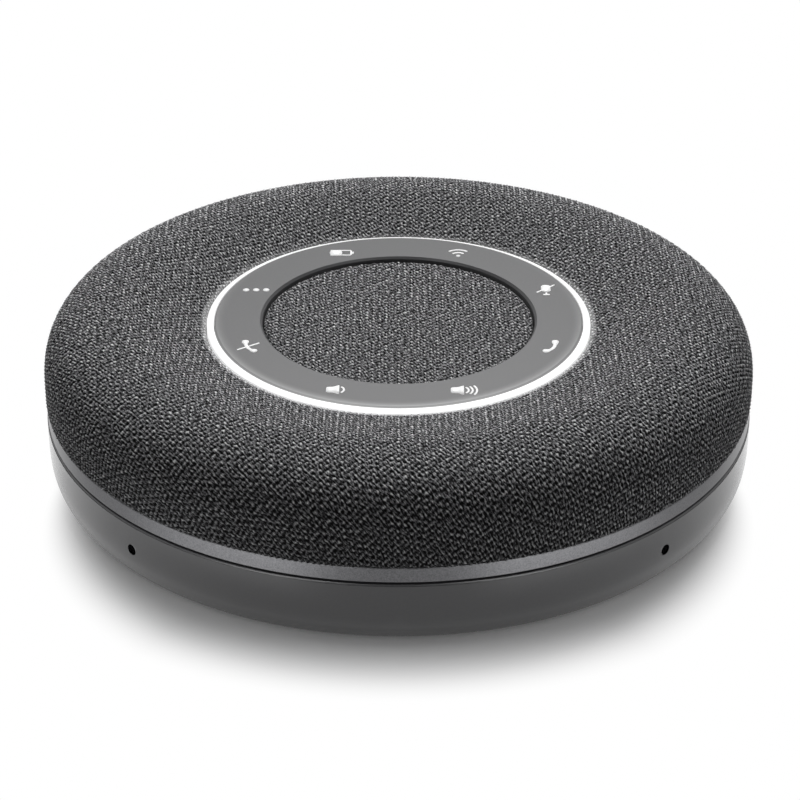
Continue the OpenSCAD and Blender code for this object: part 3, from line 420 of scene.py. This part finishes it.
# Centre disc of the same cloth, wrapped over the rim of its grille
disc = {"roundEdge": 0.35, "wrap": 0.5}
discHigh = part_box("centre_fabric")[1]
discR, discZ = discHigh.x / mm, discHigh.z / mm
bend = np.radians(np.linspace(0, 90, 8))
edgeR = discR - disc["roundEdge"] + disc["roundEdge"] * np.sin(bend)
edgeZ = discZ - disc["roundEdge"] + disc["roundEdge"] * np.cos(bend)
discCloth = knitSheet("discCloth", np.concatenate([np.linspace(0, edgeR[0], 40)[:-1], edgeR, [discR]]),
                      np.concatenate([np.full(39, discZ), edgeZ, [edgeZ[-1] - disc["wrap"]]]), 0.0, yarn)
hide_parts("centre_fabric")
print("disc cloth has", len(discCloth.data.polygons), "faces")


def mouldedFinish(name, colour, second, grain, roughness, bumpMm=0.0, metallic=0.0, stretch=(1, 1, 1)):
    # Two close tones and a bump from one noise, its grain in millimetres; stretch is for drawn metal
    m = startMaterial(name)
    at = addNode(m, "ShaderNodeTexCoord")
    scaled = addNode(m, "ShaderNodeMapping", {"Vector": at.outputs["Object"], "Scale": stretch})
    noise = addNode(m, "ShaderNodeTexNoise", {
        "Vector": scaled.outputs[0], "Scale": 1 / (grain * mm), "Detail": 3.0,
    })
    tone = addNode(m, "ShaderNodeMix", {"Factor": noise.outputs[0], 6: linear(colour), 7: linear(second)},
                   data_type="RGBA")
    rough = addNode(m, "ShaderNodeMapRange", {"Value": noise.outputs[0], "From Min": 0.3, "From Max": 0.7,
                                             "To Min": roughness - 0.04, "To Max": roughness + 0.04})
    feeds = {"Base Color": tone.outputs[2], "Roughness": rough.outputs[0], "Metallic": metallic}
    if bumpMm:
        bump = addNode(m, "ShaderNodeBump", {
            "Strength": 0.5, "Distance": bumpMm * mm, "Height": noise.outputs[0],
        })
        feeds["Normal"] = bump.outputs[0]
    shader = addNode(m, "ShaderNodeBsdfPrincipled", feeds)
    addNode(m, "ShaderNodeOutputMaterial", {"Surface": shader.outputs[0]})
    return m


# Casing: satin painted ABS, bead-blasted anodised aluminium, satin key ring, opal light guide
satin = mouldedFinish("satinAbs", "#646466", "#6A6A6C", 0.4, 0.22, 0.004)
dress(["base_shell", "power_button"], satin)
dress(["trim_ring"],
      mouldedFinish("beadBlastedAluminium", "#2C2C2E", "#757577", 0.24, 0.36, 0.006, metallic=1.0))
keyRing = mouldedFinish("satinPolycarbonate", "#444446", "#4A4A4B", 0.5, 0.42, 0.002)
dress(["control_ring"], keyRing)
dress(["base_gasket", "foot_ring", "mic_boots", "speaker_surround"],
      mouldedFinish("mattRubber", "#1A1A1B", "#222223", 0.3, 0.75, 0.01))

# Wall skin: the wall is nearly upright above a rounded lower edge, so a turned skin lies over the tapered
# solid, from one side of the rear sockets round the front to the other; turns are in degrees from the right
skin = {
    "foot": 0.6, "top": 12.2, "low": 63.5, "high": 65.89, "squareness": 5.5, "deep": 0.3, "rows": 26,
    "crowd": 1.6, "from": 104, "to": 414, "fade": 9, "sunk": 0.1, "facets": 298, "sharp": 40,
    "portWide": 2.05, "portFacets": 48, "drillLong": 5, "port": (45, 7.36, 65.86), "hole": (46, 6.5, 64.71),
}
# rows lie closer near the foot; the bulge is what a steep power curve adds to the straight taper
up = np.linspace(0, 1, skin["rows"])[:, None] ** skin["crowd"]
taper = skin["low"] + (skin["high"] - skin["low"]) * up
bulge = (skin["high"] - skin["low"]) * (1 - (1 - up) ** skin["squareness"] - up)
bearing = np.linspace(skin["from"], skin["to"], skin["facets"])[None, :]
share = np.clip(np.minimum(bearing - skin["from"], skin["to"] - bearing) / skin["fade"], 0, 1)
share = share * share * (3 - 2 * share)
outside = taper + bulge * share - skin["sunk"] * (1 - share)
radius = np.concatenate([outside, np.repeat(taper[::-1] - skin["deep"], skin["facets"], 1)])
height = np.concatenate([up, up[::-1]]) * (skin["top"] - skin["foot"]) + skin["foot"]
turn = np.radians(bearing)
points = np.stack([radius * np.cos(turn), radius * np.sin(turn), np.broadcast_to(height, radius.shape)], -1)
index = np.arange(radius.size).reshape(radius.shape)
above = np.roll(index, -1, 0)
faces = np.stack([index[:, :-1], index[:, 1:], above[:, 1:], above[:, :-1]], -1).reshape(-1, 4)
k = np.arange(skin["rows"] - 1)
ends = np.stack([k, k + 1, 2 * skin["rows"] - 2 - k, 2 * skin["rows"] - 1 - k], -1)
faces = np.concatenate([faces, index[:, 0][ends], index[:, -1][ends[:, ::-1]]])
wallSkin = makePiece("wallSkin", points.reshape(-1, 3), faces, satin)


def portPlace(turn, height, radius, side, front):
    # A place on the wall by its turn from the front, or from the rear where front is -1
    across, ahead = math.sin(math.radians(turn)), math.cos(math.radians(turn))
    return Vector((side * radius * across, -front * radius * ahead, height)) * mm


# the four microphone ports have round mouths and lean from these to the holes in the solid wall
drills = bmesh.new()
upright = Vector((0, 0, 1))
for side in (-1, 1):
    for front in (-1, 1):
        mouth, hole = portPlace(*skin["port"], side, front), portPlace(*skin["hole"], side, front)
        along = upright.cross(Vector((mouth.x, mouth.y, 0))).normalized()
        lean = Matrix((along, upright, (mouth - hole).normalized())).transposed().to_4x4()
        lean.translation = (mouth + hole) / 2
        bmesh.ops.create_cone(drills, cap_ends=True, segments=skin["portFacets"],
                              radius1=skin["portWide"] / 2 * mm, radius2=skin["portWide"] / 2 * mm,
                              depth=skin["drillLong"] * mm, matrix=lean)
drillMesh = bpy.data.meshes.new("drills")
drills.to_mesh(drillMesh)
drills.free()
drill = bpy.data.objects.new("drills", drillMesh)
bpy.context.scene.collection.objects.link(drill)
cut = wallSkin.modifiers.new("ports", "BOOLEAN")
cut.object, cut.operation, cut.solver = drill, "DIFFERENCE", "EXACT"
bored = bpy.data.meshes.new_from_object(wallSkin.evaluated_get(bpy.context.evaluated_depsgraph_get()))
wallSkin.modifiers.clear()
wallSkin.data = bored
bpy.data.objects.remove(drill)
bored.set_sharp_from_angle(angle=math.radians(skin["sharp"]))
print("wall skin has", len(bored.polygons), "faces")


def opalGuide(name, colour, second, level):
    # Opal acrylic lit from below: an even white glow with faint clouds of the diffuser, and a smooth skin
    m = startMaterial(name)
    at = addNode(m, "ShaderNodeTexCoord")
    cloud = addNode(m, "ShaderNodeTexNoise", {
        "Vector": at.outputs["Object"], "Scale": 1 / (4 * mm), "Detail": 2.0,
    })
    tone = addNode(m, "ShaderNodeMix", {"Factor": cloud.outputs[0], 6: linear(colour), 7: linear(second)},
                   data_type="RGBA")
    power = addNode(m, "ShaderNodeMapRange", {
        "Value": cloud.outputs[0], "To Min": level * 0.96, "To Max": level * 1.04,
    })
    glow = addNode(m, "ShaderNodeBsdfPrincipled", {
        "Base Color": tone.outputs[2], "Roughness": 0.3, "Emission Color": (1, 1, 1, 1),
        "Emission Strength": power.outputs[0],
    })
    addNode(m, "ShaderNodeOutputMaterial", {"Surface": glow.outputs[0]})
    return m


# Light guide: a turned ring with a rounded crown that falls outwards, a hairline away from the key ring,
# and a rebate underneath over its lamps
guide = {"gap": 0.12, "fall": 0.44, "round": 0.08, "step": 0.17, "rim": 0.4, "rebate": 0.75, "facets": 288}
guideLow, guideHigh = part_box("light_ring")
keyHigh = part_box("control_ring")[1]
guideIn, guideOut, guideFoot = keyHigh.x / mm + guide["gap"], guideHigh.x / mm, guideLow.z / mm
innerTop = ringZ - guide["step"]
outerTop = innerTop - guide["fall"]
bend = np.radians(np.linspace(0, 90, 5))
soft = guide["round"]
profile = np.concatenate([
    [[guideOut - guide["rim"], guideFoot], [guideOut, guideFoot]],
    np.stack([guideOut - soft + soft * np.cos(bend), outerTop - soft + soft * np.sin(bend)], -1),
    np.stack([guideIn + soft - soft * np.sin(bend), innerTop - soft + soft * np.cos(bend)], -1),
    [[guideIn, guideFoot + guide["rebate"]], [guideOut - guide["rim"], guideFoot + guide["rebate"]]],
])
# the profile turned round the axis: one column of points for each facet
turn = np.linspace(0, 2 * np.pi, guide["facets"], endpoint=False)
points = np.stack([
    profile[:, :1] * np.cos(turn), profile[:, :1] * np.sin(turn),
    np.repeat(profile[:, 1:], guide["facets"], 1),
], -1).reshape(-1, 3)
index = np.arange(len(points)).reshape(len(profile), guide["facets"])
above, beside = np.roll(index, -1, 0), np.roll(index, -1, 1)
faces = np.stack([index, beside, np.roll(above, -1, 1), above], -1).reshape(-1, 4)
opal = opalGuide("opalAcrylic", "#C4C4C4", "#D0D0D0", 0.5)
lightGuide = makePiece("lightGuide", points, faces, opal)
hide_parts("light_ring")
windows = opalGuide("opalKeyWindows", "#E0E0E0", "#EEEEEE", 0.33)

# Painted glow: an emission on the rim of the key ring stands in for the light ring's light on it, most at the
# front, where the whole ring is painted a little brighter too; its skin shines less than the casing's
paintedGlowAndShine = {"edge": 0.34, "width": 2.4, "falloff": 2.4, "front": 0.035, "bySide": 1.7, "shine": 0.25}
shader = next(n for n in keyRing.node_tree.nodes if n.type == "BSDF_PRINCIPLED")
spot = addNode(keyRing, "ShaderNodeTexCoord")
rim = addNode(keyRing, "ShaderNodeMapRange", {
    "Value": fromAxis(keyRing, spot.outputs["Object"]).outputs["Value"],
    "From Min": keyHigh.x - paintedGlowAndShine["width"] * mm, "From Max": keyHigh.x,
})
rim = addNode(keyRing, "ShaderNodeMath", {0: rim.outputs[0], 1: paintedGlowAndShine["falloff"]}, operation="POWER")
rim = addNode(keyRing, "ShaderNodeMath", {0: rim.outputs[0], 1: paintedGlowAndShine["edge"], 2: paintedGlowAndShine["front"]},
              operation="MULTIPLY_ADD")
side = paintedGlowFrontShare(keyRing, spot.outputs["Object"], 0.0)
side = addNode(keyRing, "ShaderNodeMath", {0: side.outputs[0], 1: paintedGlowAndShine["bySide"]}, operation="POWER")
rim = addNode(keyRing, "ShaderNodeMath", {0: rim.outputs[0], 1: side.outputs[0]}, operation="MULTIPLY")
shader.inputs["Emission Color"].default_value = (1, 1, 1, 1)
shader.inputs["Specular IOR Level"].default_value = paintedGlowAndShine["shine"]
keyRing.node_tree.links.new(rim.outputs[0], shader.inputs["Emission Strength"])
print("casing dressed")

# Key symbols: thin windows on the control ring, drawn upright in millimetres round each key's own middle
symbol = {"lift": 0.03, "thickness": 0.06, "line": 0.42, "back": 0.3, "capReach": 0.8, "capTip": 0.02}


def stroke(line, width):
    # Ribbon: each point of the line moves half a width to either side; shrinking rows round both ends
    line = np.asarray(line, float)
    width = np.broadcast_to(np.asarray(width, float), (len(line),))
    way = np.gradient(line, axis=0)
    way /= np.linalg.norm(way, axis=1)[:, None]
    turn = np.radians(np.linspace(90, 0, 7))[:-1]
    start = line[0] - way[0] * np.sin(turn)[:, None] * width[0] / 2 * symbol["capReach"]
    end = line[-1] + way[-1] * np.sin(turn[::-1])[:, None] * width[-1] / 2 * symbol["capReach"]
    middle = np.concatenate([start, line, end])
    shrink = np.cos(turn)
    wide = np.concatenate([
        width[0] * shrink + symbol["capTip"], width, width[-1] * shrink[::-1] + symbol["capTip"],
    ])
    way = np.concatenate([np.repeat(way[:1], len(turn), 0), way, np.repeat(way[-1:], len(turn), 0)])
    side = np.stack([-way[:, 1], way[:, 0]], -1) * wide[:, None] / 2
    points = np.concatenate([middle - side, middle + side])
    k = np.arange(len(middle) - 1)
    n = len(middle)
    return points, np.stack([k, k + 1, k + 1 + n, k + n], -1)


def arc(centre, radius, fromTurn, toTurn, width, count=20):
    turn = np.radians(np.linspace(fromTurn, toTurn, count))
    return stroke(np.stack([centre[0] + radius * np.cos(turn), centre[1] + radius * np.sin(turn)], -1), width)


def bar(start, end, width):
    return stroke(np.linspace(start, end, 8), width)


def handset(a, b, c):
    # Curve that leaves a towards b and reaches c from b, broad at the ends and slim between
    t = np.linspace(0, 1, 24)[:, None]
    line = (1 - t) ** 2 * np.array(a) + 2 * t * (1 - t) * np.array(b) + t ** 2 * np.array(c)
    wide = 0.62 + 0.62 * np.clip(np.abs(2 * t[:, 0] - 1) * 3 - 1.6, 0, 1)
    return stroke(line, wide)


def chords(x, half, centre=(0, 0)):
    # Filled shape: rows of upright chords, each with its half length
    points = np.concatenate([np.stack([x, -half], -1), np.stack([x, half], -1)]) + np.array(centre)
    k = np.arange(len(x) - 1)
    return points, np.stack([k, k + 1, k + 1 + len(x), k + len(x)], -1)


def speaker():
    # Stub and horn
    x = np.array([-2.3, -2.1, -1.7, -1.35, -1.0, -0.5, -0.1, 0.02])
    return chords(x, np.array([0.7, 0.98, 1.02, 1.02, 1.1, 1.38, 1.6, 1.55]))


def dot(centre, size):
    # Disc: the chords of a circle
    turn = np.radians(np.linspace(-89, 89, 16))
    return chords(size / 2 * np.sin(turn), size / 2 * np.cos(turn), centre)


# Sound waves beside the speaker: radius and half angle
wave = {1: (1.29, 47), 2: (2.0, 38), 3: (2.77, 34)}
horn = {n: arc((-0.44, 0), r, -h, h, 0.36) for n, (r, h) in wave.items()}
symbols = {
    "Battery": ((-11.16, 26.97), [
        bar((-2.0, 1.02), (1.75, 1.02), 0.34), bar((-2.0, -1.02), (1.75, -1.02), 0.34),
        bar((1.9, -0.8), (1.9, 0.8), 0.34), bar((2.25, -0.3), (2.25, 0.3), 0.36),
        bar((-1.35, 0), (-0.75, 0), 2.3),
    ]),
    "Wireless": ((11.58, 27.12), [
        dot((0, -1.5), 0.8), arc((0, -1.6), 1.5, 50, 130, symbol["line"]),
        arc((0, -1.6), 2.7, 52, 128, symbol["line"]),
    ]),
    "MicOff": ((27.87, 10.96), [
        bar((0.05, -0.15), (0.05, 1.3), 1.78), bar((0.07, -1.3), (0.07, -1.75), 0.36),
        bar((-0.4, -1.98), (0.56, -1.98), 0.44), bar((-1.65, -1.0), (1.65, 2.0), 0.34),
    ]),
    "PickUp": ((27.65, -11.83), [handset((0.98, 1.85), (0.98, -1.35), (-1.0, -1.85))]),
    "Louder": ((11.55, -28.4), [speaker(), horn[1], horn[2], horn[3]]),
    "Softer": ((-10.5, -28.22), [speaker(), horn[1]]),
    "HangUp": ((-27.37, -11.85), [
        handset((-0.62, 1.9), (-0.5, -0.95), (1.2, -1.75)), bar((-1.85, -1.3), (1.85, 1.2), 0.36),
    ]),
    "More": ((-27.0, 10.92), [dot((-1.9, 0), 1.2), dot((0, 0), 1.2), dot((1.9, 0), 1.2)]),
}
for name, (middle, shapes) in symbols.items():
    starts = np.cumsum([0] + [len(p) for p, q in shapes])
    flat = np.concatenate([p for p, q in shapes]) + np.array(middle) + np.array([0, symbol["back"]])
    faces = np.concatenate([q + s for (p, q), s in zip(shapes, starts)])
    points = np.column_stack([flat, np.full(len(flat), ringZ + symbol["lift"])])
    key = makePiece("key" + name, points, faces, windows)
    wall = key.modifiers.new("thickness", "SOLIDIFY")
    wall.thickness = symbol["thickness"] * mm
    wall.offset = -1
print("key symbols drawn:", len(symbols))

# Inside: moulded, drawn, sintered and soldered pieces
dress(["grille_dome", "centre_grille", "inner_chassis"],
      mouldedFinish("blackAbs", "#161617", "#1E1E1F", 0.5, 0.55, 0.006))
dress(["touch_pads", "speaker_gasket", "battery_pad"],
      mouldedFinish("closedCellFoam", "#141415", "#2A2A2B", 0.25, 0.95, 0.05))
dress(["base_screws", "dome_screws", "speaker_screws", "board_screws"],
      mouldedFinish("zincPlatedSteel", "#A9A9A4", "#BDBDB8", 0.2, 0.32, 0.003, metallic=1.0))
dress(["speaker_basket", "speaker_yoke", "speaker_plate"],
      mouldedFinish("pressedSteel", "#8A8A8C", "#9A9A9C", 0.6, 0.4, 0.004, metallic=1.0))
dress(["usb_shell", "board_shield", "microphones"],
      mouldedFinish("tinPlatedSteel", "#B4B4B6", "#C6C6C8", 0.3, 0.28, 0.002, metallic=1.0,
                    stretch=(1, 0.1, 1)))
dress(["speaker_magnet"], mouldedFinish("sinteredFerrite", "#2C2C2E", "#3A3A3C", 0.3, 0.62, 0.02))
dress(["voice_coil"], mouldedFinish("enamelledCopper", "#A8622E", "#C47A3C", 0.3, 0.35, 0.02, metallic=0.6,
                                    stretch=(0.05, 0.05, 1)))
dress(["speaker_cone", "dust_cap"], mouldedFinish("pressedPulp", "#1C1B1A", "#2E2C2A", 0.35, 0.9, 0.03))
dress(["speaker_spider"], mouldedFinish("resinDippedCloth", "#A8854A", "#C29E62", 0.4, 0.85, 0.05))
dress(["main_board", "mic_boards"], mouldedFinish("greenSolderMask", "#0D3A26", "#15492F", 1.2, 0.3, 0.01))
dress(["ring_board"], mouldedFinish("blackSolderMask", "#151515", "#1C1C1C", 1.2, 0.35, 0.01))
dress(["board_chips", "usb_tongue", "power_switch"],
      mouldedFinish("mouldedEpoxy", "#1B1B1C", "#262627", 0.2, 0.5, 0.006))
dress(["board_connectors", "switch_plunger", "ring_leds"],
      mouldedFinish("naturalNylon", "#D8D2C2", "#E4DFD2", 0.5, 0.45, 0.003))
dress(["battery_pack"], mouldedFinish("laminatedFoil", "#9FA2A6", "#B6B9BC", 3.0, 0.35, 0.08, metallic=0.8))
dress(["speaker_leads", "battery_leads"], mouldedFinish("pvcJacket", "#7A1414", "#8C1C1A", 0.8, 0.45, 0.004))
dress(["touch_ribbon"], mouldedFinish("polyimideFilm", "#B4661C", "#C47628", 1.0, 0.35, 0.002))
print("inner pieces dressed")
